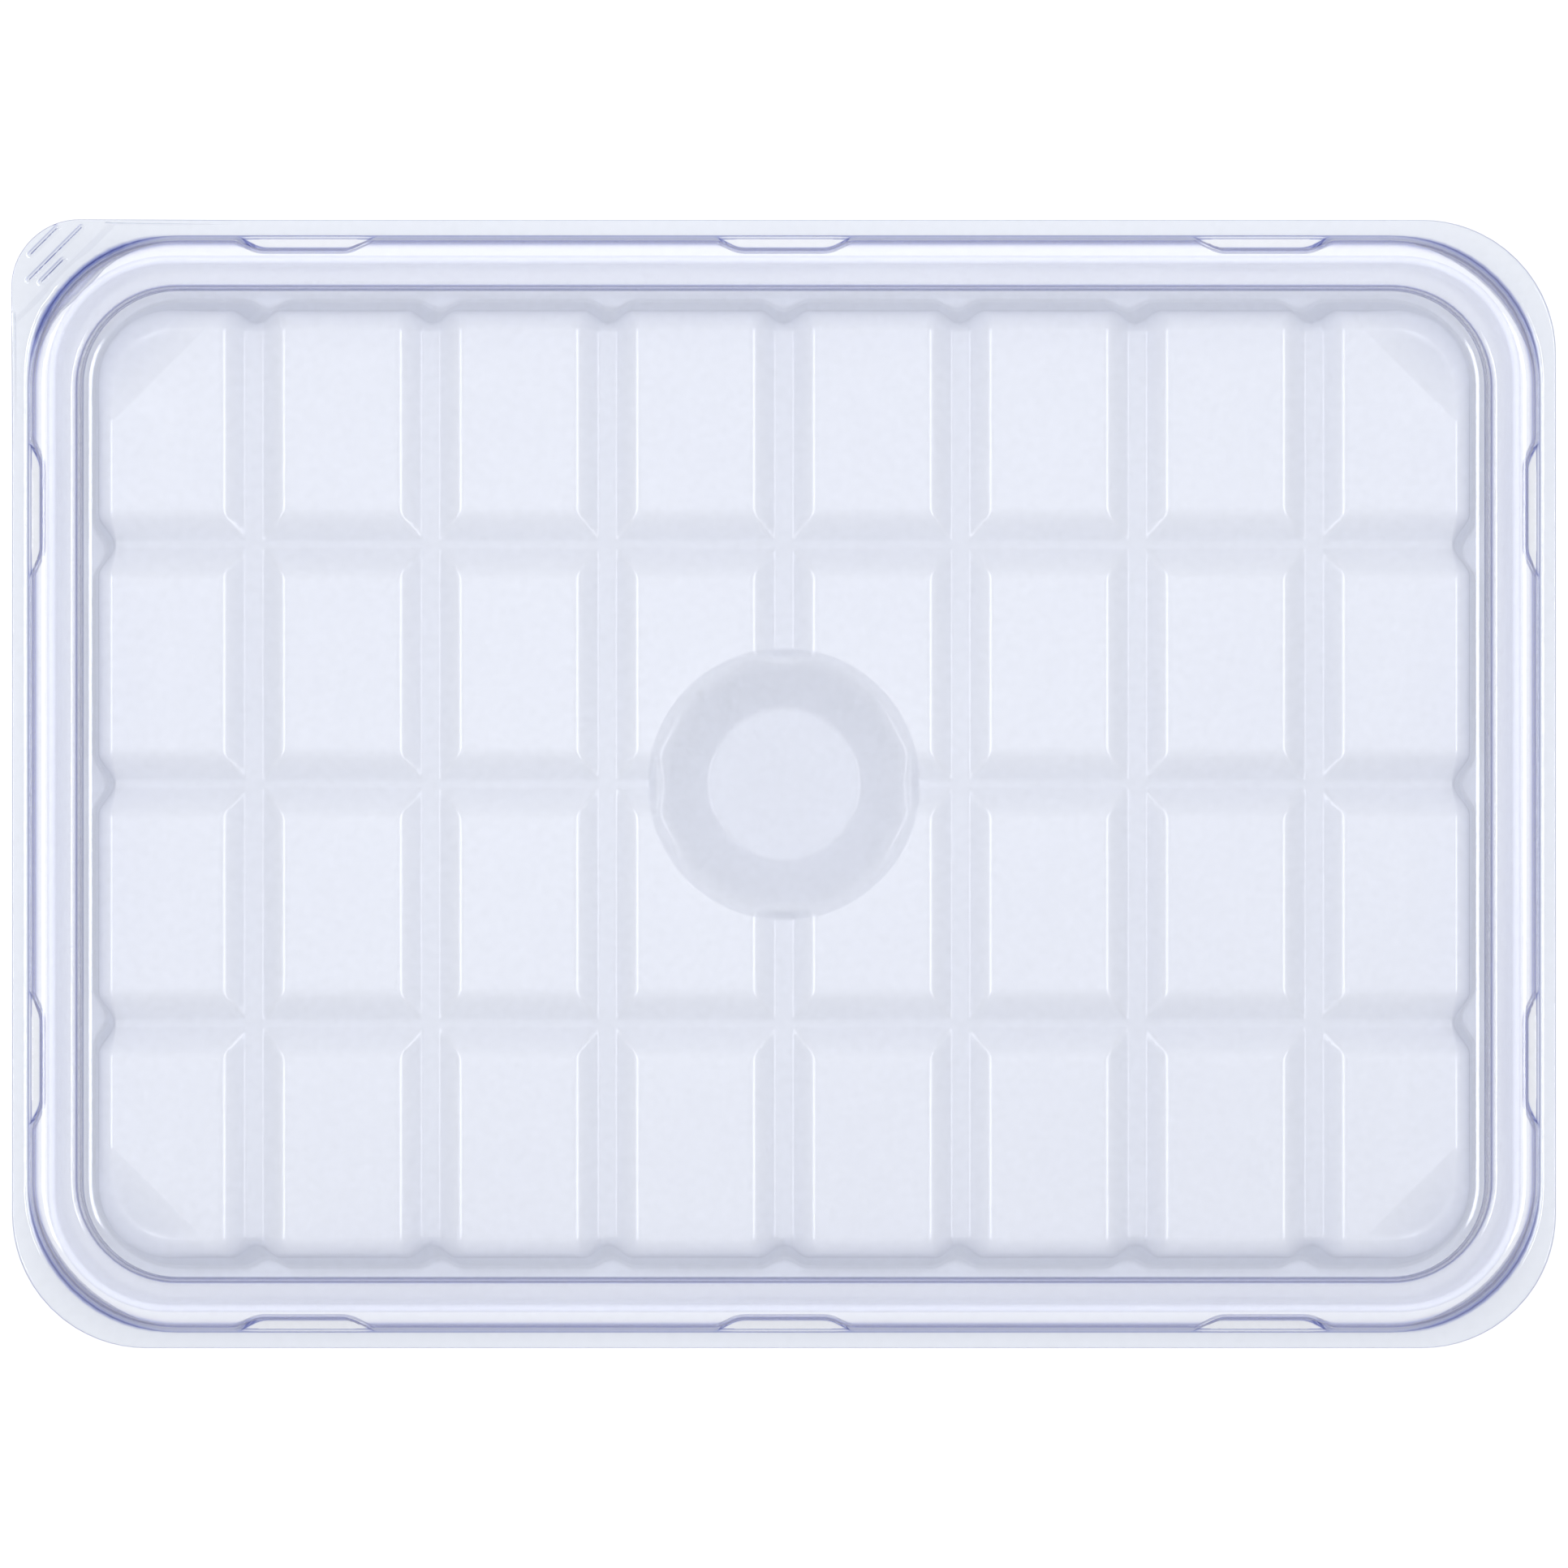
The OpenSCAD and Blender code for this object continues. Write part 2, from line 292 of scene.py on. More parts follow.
# %% White polystyrene
def white_polystyrene():
    made, tree, out = blank("white_polystyrene_thermoformed")
    place = add(tree, "ShaderNodeTexCoord").outputs["Object"]
    ripple = add(tree, "ShaderNodeTexNoise", {"Vector": place}, Scale=1 / (0.9 * MM), Detail=2.0)
    bump = add(tree, "ShaderNodeBump", {"Height": ripple.outputs["Fac"]}, Strength=0.04,
               Distance=0.02 * MM)
    cloud = add(tree, "ShaderNodeTexNoise", {"Vector": place}, Scale=1 / (45 * MM), Detail=1.0)
    tone = add(tree, "ShaderNodeMix", {"Factor": cloud.outputs["Fac"]}, data_type="RGBA")
    tone.inputs[6].default_value = linear("#f7f8fb")
    tone.inputs[7].default_value = linear("#f4f5f9")
    gloss = add(tree, "ShaderNodeMapRange", {"Value": cloud.outputs["Fac"]}, To_Min=0.16, To_Max=0.22)
    shader = add(tree, "ShaderNodeBsdfPrincipled",
                 {"Base Color": tone.outputs[2], "Roughness": gloss.outputs[0],
                  "Normal": bump.outputs[0]}, IOR=1.59)
    glow = add(tree, "ShaderNodeBsdfTranslucent", {"Color": tone.outputs[2]})
    sheet = add(tree, "ShaderNodeMixShader", {0: glow_share(tree, place), 1: shader.outputs[0],
                                              2: glow.outputs[0]})
    tree.links.new(sheet.outputs[0], out.inputs["Surface"])
    return made


POLYSTYRENE = white_polystyrene()
print("material:", POLYSTYRENE.name, "with", len(POLYSTYRENE.node_tree.nodes), "nodes")

# %% [markdown]
# ### Clear PET, thermoformed
# Amorphous polyester sheet of half a millimetre, with an index of 1.57. Bending the light through so
# thin a sheet would move nothing that the eye can see, so both faces are see-through and only mirror,
# weakly from straight on and strongly at a glance. Schlick's rule gives that share: the mirror of the
# straight look, plus the fifth power of how far the face turns away.
#
# A sheet seen nearly edge on goes blue, because the bluing dye that hides the polyester's yellow
# tinge adds up along it. The mould stretches the dome's wall thin, and leaves the skirt, the ring and
# the flange thick. So below the wall the blue starts at a smaller turn, and the flange is a touch
# darker than the rest. That early start below the wall is partly painted shade: it darkens the
# skirt's rounding and the floor seen through it, which lie in shadow under the ring.


# %% The blue of the sheet, seen edge on, with painted shade below the wall
# Below the wall the blue starts at a small turn, partly as painted shade on the skirt's rounding.
THICK_AND_SHADE_TURN = 0.18, 0.92  # how far a face turns away where the blue starts, and where it is full
THIN_TURN = 0.64, 0.95


def sheet_tint(tree, height, turned):
    """Colour of the light that passes one face of the sheet, with painted shade below the wall."""
    stretched = add(tree, "ShaderNodeMapRange", {"Value": height}, From_Min=(rim_top + 1) * MM,
                    From_Max=(rim_top + 4) * MM)
    # Painted shade: the thick parts below the wall go blue early, darkening the shadowed skirt
    # rounding.
    thick_edge_and_shade = add(tree, "ShaderNodeMapRange", {"Value": turned}, From_Min=THICK_AND_SHADE_TURN[0],
                     From_Max=THICK_AND_SHADE_TURN[1], interpolation_type="SMOOTHSTEP")
    thin_edge = add(tree, "ShaderNodeMapRange", {"Value": turned}, From_Min=THIN_TURN[0],
                    From_Max=THIN_TURN[1], interpolation_type="SMOOTHSTEP")
    edge_on = add(tree, "ShaderNodeMix", {0: stretched.outputs[0], 2: thick_edge_and_shade.outputs[0],
                                          3: thin_edge.outputs[0]}, data_type="FLOAT")
    tint = add(tree, "ShaderNodeMix", {"Factor": edge_on.outputs[0]}, data_type="RGBA")
    tint.inputs[6].default_value = linear("#f8f9fb")
    tint.inputs[7].default_value = linear("#6b78c4")
    on_flange = add(tree, "ShaderNodeMapRange", {"Value": height}, From_Min=(flange_foot + 1.5) * MM,
                    From_Max=(flange_foot + 2.1) * MM, To_Min=1.0, To_Max=0.0)
    darker = add(tree, "ShaderNodeMix", {"Factor": on_flange.outputs[0], 6: tint.outputs[2]},
                 data_type="RGBA", blend_type="MULTIPLY")
    darker.inputs[7].default_value = linear("#f9fafc")
    return darker.outputs[2]


# %% [markdown]
# Domes are stacked in a pile, and rub where they touch. That leaves a fine grain of scuffs all over,
# and a clearer haze on the ring. The grain is about a millimetre and a half across.


# %% Scuffs
SCUFFED, RUBBED = 0.02, 0.2  # shares of the surface at most: all over, and more on the ring


def scuffs(tree, place, height):
    """The share of the surface that is scuffed at a place."""
    grain = add(tree, "ShaderNodeTexNoise", {"Vector": place}, Scale=1 / (1.6 * MM), Detail=4.0)
    fine = add(tree, "ShaderNodeMapRange", {"Value": grain.outputs["Fac"]}, From_Min=0.4,
               From_Max=0.8, To_Min=0.0, To_Max=SCUFFED)
    over_ring = add(tree, "ShaderNodeMath", {0: height}, operation="SUBTRACT")
    over_ring.inputs[1].default_value = (rim_top + 0.6) * MM
    away = add(tree, "ShaderNodeMath", {0: over_ring.outputs[0]}, operation="ABSOLUTE")
    rubbed = add(tree, "ShaderNodeMapRange", {"Value": away.outputs[0]}, From_Min=0.8 * MM,
                 From_Max=1.8 * MM, To_Min=RUBBED, To_Max=0.0)
    both = add(tree, "ShaderNodeMath", {0: fine.outputs[0], 1: rubbed.outputs[0]}, operation="ADD")
    return both.outputs[0]


# %% [markdown]
# The last mix is for light on its way to a lamp. A clear sheet only costs it a little, and saying so
# outright keeps the render quick and free of speckle.

# %% Clear PET
PET_IOR = 1.57
STRAIGHT_MIRROR = ((PET_IOR - 1) / (PET_IOR + 1)) ** 2


def clear_pet():
    made, tree, out = blank("clear_pet_thermoformed")
    place = add(tree, "ShaderNodeTexCoord").outputs["Object"]
    height = add(tree, "ShaderNodeSeparateXYZ", {"Vector": place}).outputs["Z"]
    ripple = add(tree, "ShaderNodeTexNoise", {"Vector": place}, Scale=1 / (14 * MM), Detail=1.0)
    bump = add(tree, "ShaderNodeBump", {"Height": ripple.outputs["Fac"]}, Strength=0.05,
               Distance=0.3 * MM).outputs[0]
    turned = add(tree, "ShaderNodeLayerWeight", {"Normal": bump}, Blend=0.5).outputs["Facing"]
    fifth = add(tree, "ShaderNodeMath", {0: turned}, operation="POWER")
    fifth.inputs[1].default_value = 5.0
    mirror = add(tree, "ShaderNodeMapRange", {"Value": fifth.outputs[0]}, To_Min=STRAIGHT_MIRROR,
                 To_Max=1.0)
    clear = add(tree, "ShaderNodeBsdfTransparent", {"Color": sheet_tint(tree, height, turned)})
    gloss = add(tree, "ShaderNodeBsdfGlossy", {"Normal": bump}, Roughness=0.04)
    clean = add(tree, "ShaderNodeMixShader", {0: mirror.outputs[0], 1: clear.outputs[0],
                                              2: gloss.outputs[0]})
    haze = add(tree, "ShaderNodeBsdfDiffuse", Color=linear("#f4f6ff"))
    worn = add(tree, "ShaderNodeMixShader", {0: scuffs(tree, place, height), 1: clean.outputs[0],
                                             2: haze.outputs[0]})
    to_lamp = add(tree, "ShaderNodeLightPath").outputs["Is Shadow Ray"]
    passing = add(tree, "ShaderNodeBsdfTransparent", Color=linear("#f7f7f8"))
    sheet = add(tree, "ShaderNodeMixShader", {0: to_lamp, 1: worn.outputs[0],
                                              2: passing.outputs[0]})
    tree.links.new(sheet.outputs[0], out.inputs["Surface"])
    return made


PET = clear_pet()
print("material:", PET.name, "with", len(PET.node_tree.nodes), "nodes")

# %% [markdown]
# ## The white tray
# The platform is a field of pads between grooves. Its height is a plain function of the place: how
# far is the nearest column line, how far the nearest row line, and how deep is a groove there. Where
# two grooves cross, the deeper one wins, which leaves the mitre lines that a mould has. The stations
# of both directions sit at the same depths, so each mitre runs exactly through the grid's corners.


# %% Height of the platform
def ramp(s, low_blend, high_blend):
    """0 below 0, 1 above 1, straight between, with a parabola of the given half width at each end."""
    if s <= -low_blend:
        return 0.0
    if s < low_blend:
        return (s + low_blend) ** 2 / (4 * low_blend)
    if s <= 1 - high_blend:
        return s
    if s < 1 + high_blend:
        return 1 - (1 + high_blend - s) ** 2 / (4 * high_blend)
    return 1.0


GROOVE_BLENDS = 0.08, 0.25  # shares of a slope's run that are rounded, at its floor and at its mouth
WELL_BLENDS = 0.06, 0.2
FACET_BLEND = 0.2  # in millimetres, on each side of the bend


def off_line(value, pitch, lines):
    """Distance from the nearest groove's centre line."""
    nearest = max(-lines, min(lines, round(value / pitch)))
    return abs(value - nearest * pitch)


def groove(distance, floor):
    """How far a groove's surface lies below the pads, at a distance from its centre line."""
    s = (distance - floor) / (GROOVE_MOUTH - floor)
    return GROOVE_DEPTH * (ramp(s, *GROOVE_BLENDS) - 1)


def well(x, y):
    """How far the well's surface lies below the pads."""
    s = (math.hypot(x, y) - WELL_FLOOR) / (WELL_MOUTH - WELL_FLOOR)
    return WELL_DEPTH * (ramp(s, *WELL_BLENDS) - 1)


def facet(x, y):
    """How far a corner facet lies below the pads."""
    past = (abs(x) + abs(y) - (platform_top.x + platform_top.y - FACET_LEG)) / math.sqrt(2)
    slope = FACET_DROP / (FACET_LEG / 2)
    if past < -FACET_BLEND:
        return 0.0
    if past < FACET_BLEND:
        return -slope * (past + FACET_BLEND) ** 2 / (4 * FACET_BLEND)
    return -slope * past


def groove_share(x, y):
    """How much of a groove's depth is left: all of it, but less close to the well's mouth."""
    return 0.3 + 0.7 * ramp((math.hypot(x, y) - WELL_MOUTH - 0.6) / 1.2, 0.3, 0.3)


def platform_rise(x, y):
    """Height of the sheet's upper face over the pads' level, which is 0 or less."""
    grooves = min(groove(off_line(x, COLUMN_PITCH, COLUMN_LINES), COLUMN_FLOOR),
                  groove(off_line(y, ROW_PITCH, ROW_LINES), ROW_FLOOR))
    return min(grooves * groove_share(x, y), well(x, y), facet(x, y))


# %% [markdown]
# Stations are given as shares of a slope's run, from the floor's edge at 0 to the mouth at 1, and
# they lie closest where the slope is rounded. The same shares serve the columns and the rows.

# %% Stations of the platform
SHARES = [-0.08, 0, 0.08, 0.3, 0.55, 0.75, 0.83, 0.915, 1, 1.085, 1.17, 1.25, 1.33]


def groove_stations(line, floor):
    """Stations across one groove, on both sides of its centre line."""
    offsets = [0.0] + [floor + share * (GROOVE_MOUTH - floor) for share in SHARES]
    return [line + sign * offset for offset in offsets for sign in (1, -1)]


CORNER = 9.5
well_block = COLUMN_PITCH - (COLUMN_FLOOR + SHARES[-1] * (GROOVE_MOUTH - COLUMN_FLOOR))
xs = spread(pads.x - CORNER, pads.x, 7)
ys = spread(pads.y - CORNER, pads.y, 7) + [well_block, ROW_PITCH / 2, ROW_PITCH * 1.5]
for i in range(COLUMN_LINES + 1):
    xs += groove_stations(i * COLUMN_PITCH, COLUMN_FLOOR) + [(i - 0.5) * COLUMN_PITCH]
for j in range(ROW_LINES + 1):
    ys += groove_stations(j * ROW_PITCH, ROW_FLOOR)
xs, ys = both_sides(xs), both_sides(ys)
sheet = rounded_grid(xs, ys, pads, CORNER)

# %% [markdown]
# The well is round, so a square grid would climb its slope in steps. Instead a square block is cut
# out of the middle, and rings grow inwards from the hole, each one a circle. Inside a groove a ring's
# vertex keeps its distance from the groove's centre line, so the groove runs straight into the well.

# %% Cut the middle out and grow the well inwards
inside = [f for f in sheet.faces if max(abs(c) for c in f.calc_center_median()) < well_block]
bmesh.ops.delete(sheet, geom=inside, context="FACES")
STRAIGHT = GROOVE_MOUTH + 0.9


def circle_place(radius):
    """Sends a vertex of the square hole's edge to a circle round the middle."""
    def place(home):
        across = home.x if abs(home.y) > abs(home.x) else home.y
        straight = min(STRAIGHT, radius / 3)
        reach = math.asin(straight / radius)
        if abs(across) <= STRAIGHT:
            turn = math.asin(across * straight / STRAIGHT / radius)
        else:
            share = (abs(across) - STRAIGHT) / (well_block - STRAIGHT)
            turn = math.copysign(reach + (math.pi / 4 - reach) * share, across)
        x, y = radius * math.cos(turn), radius * math.sin(turn)
        if abs(home.y) > abs(home.x):
            return Vector((y, math.copysign(x, home.y), 0))
        return Vector((math.copysign(x, home.x), y, 0))
    return place


well_run = WELL_MOUTH - WELL_FLOOR
well_edge = WELL_MOUTH + WELL_BLENDS[1] * well_run
radii = [WELL_MOUTH + 2.2, WELL_MOUTH + 1.9, *spread(well_edge, WELL_MOUTH, 5),
         *spread(WELL_MOUTH - 0.5, WELL_FLOOR + 1.2, 11), WELL_FLOOR + 0.65,
         WELL_FLOOR + 0.3, WELL_FLOOR, WELL_FLOOR - 0.3, WELL_FLOOR - 0.7, 10.0, 6.0, 3.0]
hole = open_edges(sheet, lambda co: max(abs(co.x), abs(co.y)) < well_block + 0.01)
for radius in radii:
    hole = extrude_ring(sheet, hole, circle_place(radius))
last = extrude_ring(sheet, hole, circle_place(STRAIGHT / 4))
bmesh.ops.pointmerge(sheet, verts=list({v for e in last for v in e.verts}), merge_co=(0, 0, 0))
print("well rings:", len(radii), "| faces now", len(sheet.faces))

# %% [markdown]
# The facets at the platform's corners run slantwise across the grid. `bisect_plane` cuts new edges
# along their bend, so the bend stays crisp. Then every vertex of the field gets its height.

# %% Cut in the facets' bends and raise the field
for sx in (-1, 1):
    for sy in (-1, 1):
        across = Vector((sx, sy, 0)).normalized()
        reach = (platform_top.x + platform_top.y - FACET_LEG) / math.sqrt(2)
        for blend in (-FACET_BLEND, 0, FACET_BLEND):
            bmesh.ops.bisect_plane(sheet, geom=sheet.verts[:] + sheet.edges[:] + sheet.faces[:],
                                   plane_co=across * (reach + blend), plane_no=across)
field_home = sheet.verts.layers.float_vector["home"]
for v in sheet.verts:
    v.co.z = PLATFORM_TOP + platform_rise(v.co.x, v.co.y)
    v[field_home] = Vector((v.co.x, v.co.y, 0))
print("field from", min(v.co.z for v in sheet.verts), "to", max(v.co.z for v in sheet.verts), "mm high")

# %% [markdown]
# From the field's edge the rings run over the platform's rounded shoulder, down its wall, through
# the gutter and up the outer wall to the rim. At the end of each groove a flute dips into the wall,
# so that water finds its way down. It is a soft wave, deepest at the top.

# %% The platform's shoulder and wall
FLUTE_ENDS = {"half": 5.2, "top": 2.9, "foot": 2.2}  # half width, and depth at the top and the foot
FLUTE_SIDES = {"half": 4.1, "top": 2.6, "foot": 1.5}
FLOOR = TRAY_SHEET
core = pads - Vector((CORNER, CORNER))


def flute_dip(home, z):
    """How far a flute pushes the platform's wall in, at this home and height."""
    if abs(home.x) > core.x and abs(home.y) > core.y:
        return 0.0
    on_end = abs(home.x) > pads.x - 0.01
    flute = FLUTE_ENDS if on_end else FLUTE_SIDES
    off = (off_line(home.y, ROW_PITCH, ROW_LINES) if on_end
           else off_line(home.x, COLUMN_PITCH, COLUMN_LINES))
    if off >= flute["half"]:
        return 0.0
    down = (PLATFORM_TOP - z) / (PLATFORM_TOP - FLOOR)
    depth = flute["top"] + (flute["foot"] - flute["top"]) * down
    return depth * (0.5 + 0.5 * math.cos(math.pi * off / flute["half"]))


def wall_level(z):
    """The platform's leaning wall at a height, before its flutes."""
    share = (PLATFORM_TOP - SHOULDER_DROP - z) / (PLATFORM_TOP - SHOULDER_DROP)
    radius = PLATFORM_TOP_RADIUS + (PLATFORM_FOOT_RADIUS - PLATFORM_TOP_RADIUS) * share
    return level(platform_top.lerp(platform_foot, share), z, radius)


def dipped_place(step):
    """Sends a home to a level of the platform's wall, and into its flute."""
    def place(home):
        dip = flute_dip(home, step["z"])
        at = on_level(home, core, step["half"] - Vector((dip, dip)), step["radius"])
        at.z = step["z"]
        return at
    return place


def shoulder_place(out, drop):
    """Sends a home part of the way from its own height on the field to the wall below."""
    def place(home):
        top = PLATFORM_TOP + platform_rise(home.x, home.y)
        at = home.lerp(dipped_place(wall_level(top - SHOULDER_DROP))(home), out)
        at.z = top - SHOULDER_DROP * drop
        return at
    return place


# Steps round the shoulder: how far out towards the wall, and what share of the drop
SHOULDER = [(0.1, 0.01), (0.22, 0.05), (0.36, 0.13), (0.52, 0.24), (0.68, 0.38), (0.81, 0.53),
            (0.91, 0.7), (0.97, 0.85), (1.0, 1.0)]
ring = open_edges(sheet)
for out, drop in SHOULDER:
    ring = extrude_ring(sheet, ring, shoulder_place(out, drop))
print("faces with the shoulder", len(sheet.faces))

# %% [markdown]
# Down from there the wall leans out to its foot, the gutter is flat, and the outer wall stands nearly
# upright. Its lip turns outwards and is cut off at the rim. Each bend is an arc of a few levels, so
# the sheet turns in a soft fold. The last level lies a hair inside the rim, to stay in the CAD box.


# %% Wall, gutter and rim of the tray
FOOT_BEND, LIP_BEND = 0.9, 0.6
WALL_INSET = 1.2


def rim_level(inset, z):
    """The rim's outline, moved in by an inset, at a height."""
    return level(rim - Vector((inset, inset)), z, RIM_RADIUS - inset)


def rim_arc(inset, z, bend, start, end, side):
    """An arc of the section that is tangent to the rim's outline, moved in by an inset."""
    at = rim_level(inset, z)
    return arc_levels(at["half"], z, at["radius"], bend, start, end, side=side)


def plain_place(step):
    """Sends a home to a level of the outer wall."""
    def place(home):
        at = on_level(home, core, step["half"], step["radius"])
        at.z = step["z"]
        return at
    return place


lower_wall = [wall_level(z) for z in (13, 11, 8, 5, 3, 1.8)]
foot = arc_levels(platform_foot, FLOOR + FOOT_BEND, PLATFORM_FOOT_RADIUS, FOOT_BEND, 180, 270, side=1)
gutter_end = rim_arc(WALL_INSET + 0.3, FLOOR + FOOT_BEND, FOOT_BEND, 270, 360, -1)
outer_wall = [rim_level(WALL_INSET + 0.2, 7), rim_level(WALL_INSET, rim_top - 1.6)]
lip = rim_arc(WALL_INSET, rim_top - LIP_BEND, LIP_BEND, 180, 90, 1)
edge = [rim_level(0.03, rim_top)]

for step in lower_wall + foot:
    ring = extrude_ring(sheet, ring, dipped_place(step))
for step in gutter_end + outer_wall + lip + edge:
    ring = extrude_ring(sheet, ring, plain_place(step))
tray = finish_sheet(sheet, "tray_sheet", TRAY_SHEET, "tray", "tray", POLYSTYRENE)

# %% [markdown]
# ## The clear dome
# The dome starts as the flat panel on top, and everything else grows down from its edge: rounded
# shoulder, leaning wall, the ring that rests on the tray's rim, the skirt with its snap notches, and
# the flange. Each notch is a shallow wedge, so the skirt's stations crowd together at its four bends.

# %% Driving sizes of the dome's sheet
DOME_SHEET = 0.5
CLEARANCE = 0.3  # between the tray's rim and the ring above it
FLANGE_WIDTH = 2.6
RING_TOP = rim_top + CLEARANCE + DOME_SHEET
RING_WIDTH = 8.2
SKIRT_LEAN = Vector((2.4, 2.0))
WALL_LEAN = Vector((7.5, 5.1))
TOP_ROUNDING = 2.5
SKIRT_ROUNDING, RING_ROUNDING = 3.0, 1.2
WALL_RADIUS, TOP_RADIUS = 16.6, 15.3
SKIRT_RADIUS, SKIRT_TOP_RADIUS = 25.0, 24.4
NOTCH_MOUTH, NOTCH_BACK, NOTCH_DEPTH = 11.2, 7.8, 1.8  # half lengths at the face and at the back
NOTCH_SHELF = 2.0
SIDE_NOTCH_PITCH, END_NOTCH = 80.0, 46.0
TAB_RADIUS, FLANGE_RADIUS = 11.5, 22.5
TAB_LEG, TAB_STEP = 17.7, 0.7

flange_top = flange_foot + DOME_SHEET
skirt_foot = flange - Vector((FLANGE_WIDTH, FLANGE_WIDTH))
skirt_top = skirt_foot - SKIRT_LEAN
wall_foot = skirt_top - Vector((RING_WIDTH, RING_WIDTH))
wall_top = wall_foot - WALL_LEAN
shelf = flange_top + NOTCH_SHELF
panel = wall_top - Vector((TOP_ROUNDING, TOP_ROUNDING))
print("dome wall from", wall_foot, "to", wall_top, "panel", panel)
# %% [markdown]
# The panel itself is flat, and only its lines matter. Every ring below takes its vertices from the
# panel's edge, so a line that meets the edge at a notch's bend becomes that bend further down.


# %% The top panel
def notch_bends(middle):
    """Stations at the bends of one notch."""
    offsets = [NOTCH_BACK - 1.4, NOTCH_BACK - 0.7, NOTCH_BACK, NOTCH_BACK + 0.7, NOTCH_BACK + 1.7,
               NOTCH_MOUTH - 0.7, NOTCH_MOUTH, NOTCH_MOUTH + 0.7, NOTCH_MOUTH + 1.4, 4.0]
    return [middle + sign * offset for offset in offsets for sign in (1, -1)]


PANEL_CORNER = 12.8
dome_core = panel - Vector((PANEL_CORNER, PANEL_CORNER))
xs = spread(dome_core.x, panel.x, 8) + notch_bends(0) + [26, 40, 54]
xs += [x for x in notch_bends(SIDE_NOTCH_PITCH) if x < dome_core.x]
ys = spread(dome_core.y, panel.y, 8) + [0, 10, 20, 28]
ys += [y for y in notch_bends(END_NOTCH) if y < dome_core.y]
dome_bm = rounded_grid(both_sides(xs), both_sides(ys), panel, PANEL_CORNER)
for v in dome_bm.verts:
    v.co.z = dome_height


# %% [markdown]
# A ring of the skirt follows the skirt's face, except where a notch lies further in. So the notch
# needs no cutting: each vertex goes to whichever of the two is nearer the middle, and the wall of the
# notch is simply the sheet on its way there and back.


# %% Notches in the skirt
SHELF_RISE = 0.6


def notch_dip(home, z):
    """How far a notch cuts in from the skirt's face, at this home and height."""
    if abs(home.x) > dome_core.x and abs(home.y) > dome_core.y:
        return 0.0
    if abs(home.x) > panel.x - 0.01:
        off = abs(abs(home.y) - END_NOTCH)
    else:
        off = min(abs(home.x), abs(abs(home.x) - SIDE_NOTCH_PITCH))
    side = ramp((NOTCH_MOUTH - off) / (NOTCH_MOUTH - NOTCH_BACK), 0.15, 0.4)
    return NOTCH_DEPTH * side * max(0, min(1, (z - shelf) / SHELF_RISE))


def down_skirt(z):
    """Share of the way down the skirt's face."""
    top = RING_TOP - SKIRT_ROUNDING
    return (top - z) / (top - flange_top)


def skirt_level(z):
    """The skirt's face at a height, before its notches."""
    share = down_skirt(z)
    radius = SKIRT_TOP_RADIUS + (SKIRT_RADIUS - SKIRT_TOP_RADIUS) * share
    return level(skirt_top.lerp(skirt_foot, share), z, radius)


def skirt_place(step):
    """Sends a home to a level of the skirt, or back to its notch where that lies further in."""
    face = skirt_top.lerp(skirt_foot, max(0, min(1, down_skirt(step["z"]))))

    def place(home):
        dip = notch_dip(home, step["z"])
        half = Vector((min(step["half"].x, face.x - dip), min(step["half"].y, face.y - dip)))
        at = on_level(home, dome_core, half, step["radius"])
        at.z = step["z"]
        return at
    return place


# %% [markdown]
# The dome's wall leans in towards the top, which lets the formed sheet slip off its mould. The ring
# below the wall is flat and lies over the tray's rim, and the skirt goes down round the tray.


# %% Wall, ring and skirt
def dome_wall_level(share):
    """The dome's wall, a share of the way from its top to its foot."""
    high, low = dome_height - TOP_ROUNDING, RING_TOP + RING_ROUNDING
    return level(wall_top.lerp(wall_foot, share), high + (low - high) * share,
                 TOP_RADIUS + (WALL_RADIUS - TOP_RADIUS) * share)


def dome_place(step):
    """Sends a home to a level of the dome's wall or ring."""
    def place(home):
        at = on_level(home, dome_core, step["half"], step["radius"])
        at.z = step["z"]
        return at
    return place


shoulder = arc_levels(wall_top, dome_height - TOP_ROUNDING, TOP_RADIUS, TOP_ROUNDING, 90, 12,
                      steps=6)[1:]
wall = [dome_wall_level(share) for share in (0.1, 0.3, 0.5, 0.7, 0.9)]
wall_bend = arc_levels(wall_foot, RING_TOP + RING_ROUNDING, WALL_RADIUS, RING_ROUNDING, 180, 270,
                       side=1)
ring_flat = [level(wall_foot + Vector((3, 3)), RING_TOP, WALL_RADIUS + 3.5),
             level(skirt_top - Vector((3.8, 3.8)), RING_TOP, SKIRT_TOP_RADIUS - 3.8)]
skirt_bend = arc_levels(skirt_top, RING_TOP - SKIRT_ROUNDING, SKIRT_TOP_RADIUS, SKIRT_ROUNDING, 90, 0,
                        steps=8)
shelf_steps = [skirt_level(shelf + up) for up in (0.8, SHELF_RISE, 0.45, 0.15, 0, -0.25)]
skirt_levels = [skirt_level(17.5), skirt_level(15), *shelf_steps, skirt_level(flange_top + 0.9)]
flange_bend = arc_levels(skirt_foot, flange_top + 0.5, SKIRT_RADIUS, 0.5, 180, 270, side=1)

ring = open_edges(dome_bm)
for step in shoulder + wall + wall_bend + ring_flat:
    ring = extrude_ring(dome_bm, ring, dome_place(step))
for step in skirt_bend + skirt_levels + flange_bend:
    ring = extrude_ring(dome_bm, ring, skirt_place(step))
print("dome faces down to the flange", len(dome_bm.faces))


# %% [markdown]
# The flange follows the skirt, but three of its corners have their own radius and the fourth spreads
# into the pull tab, so it is grown in short steps between the skirt's foot and the cut edge. The tab
# steps up along a fold line, and three ridges on it give the finger its grip.

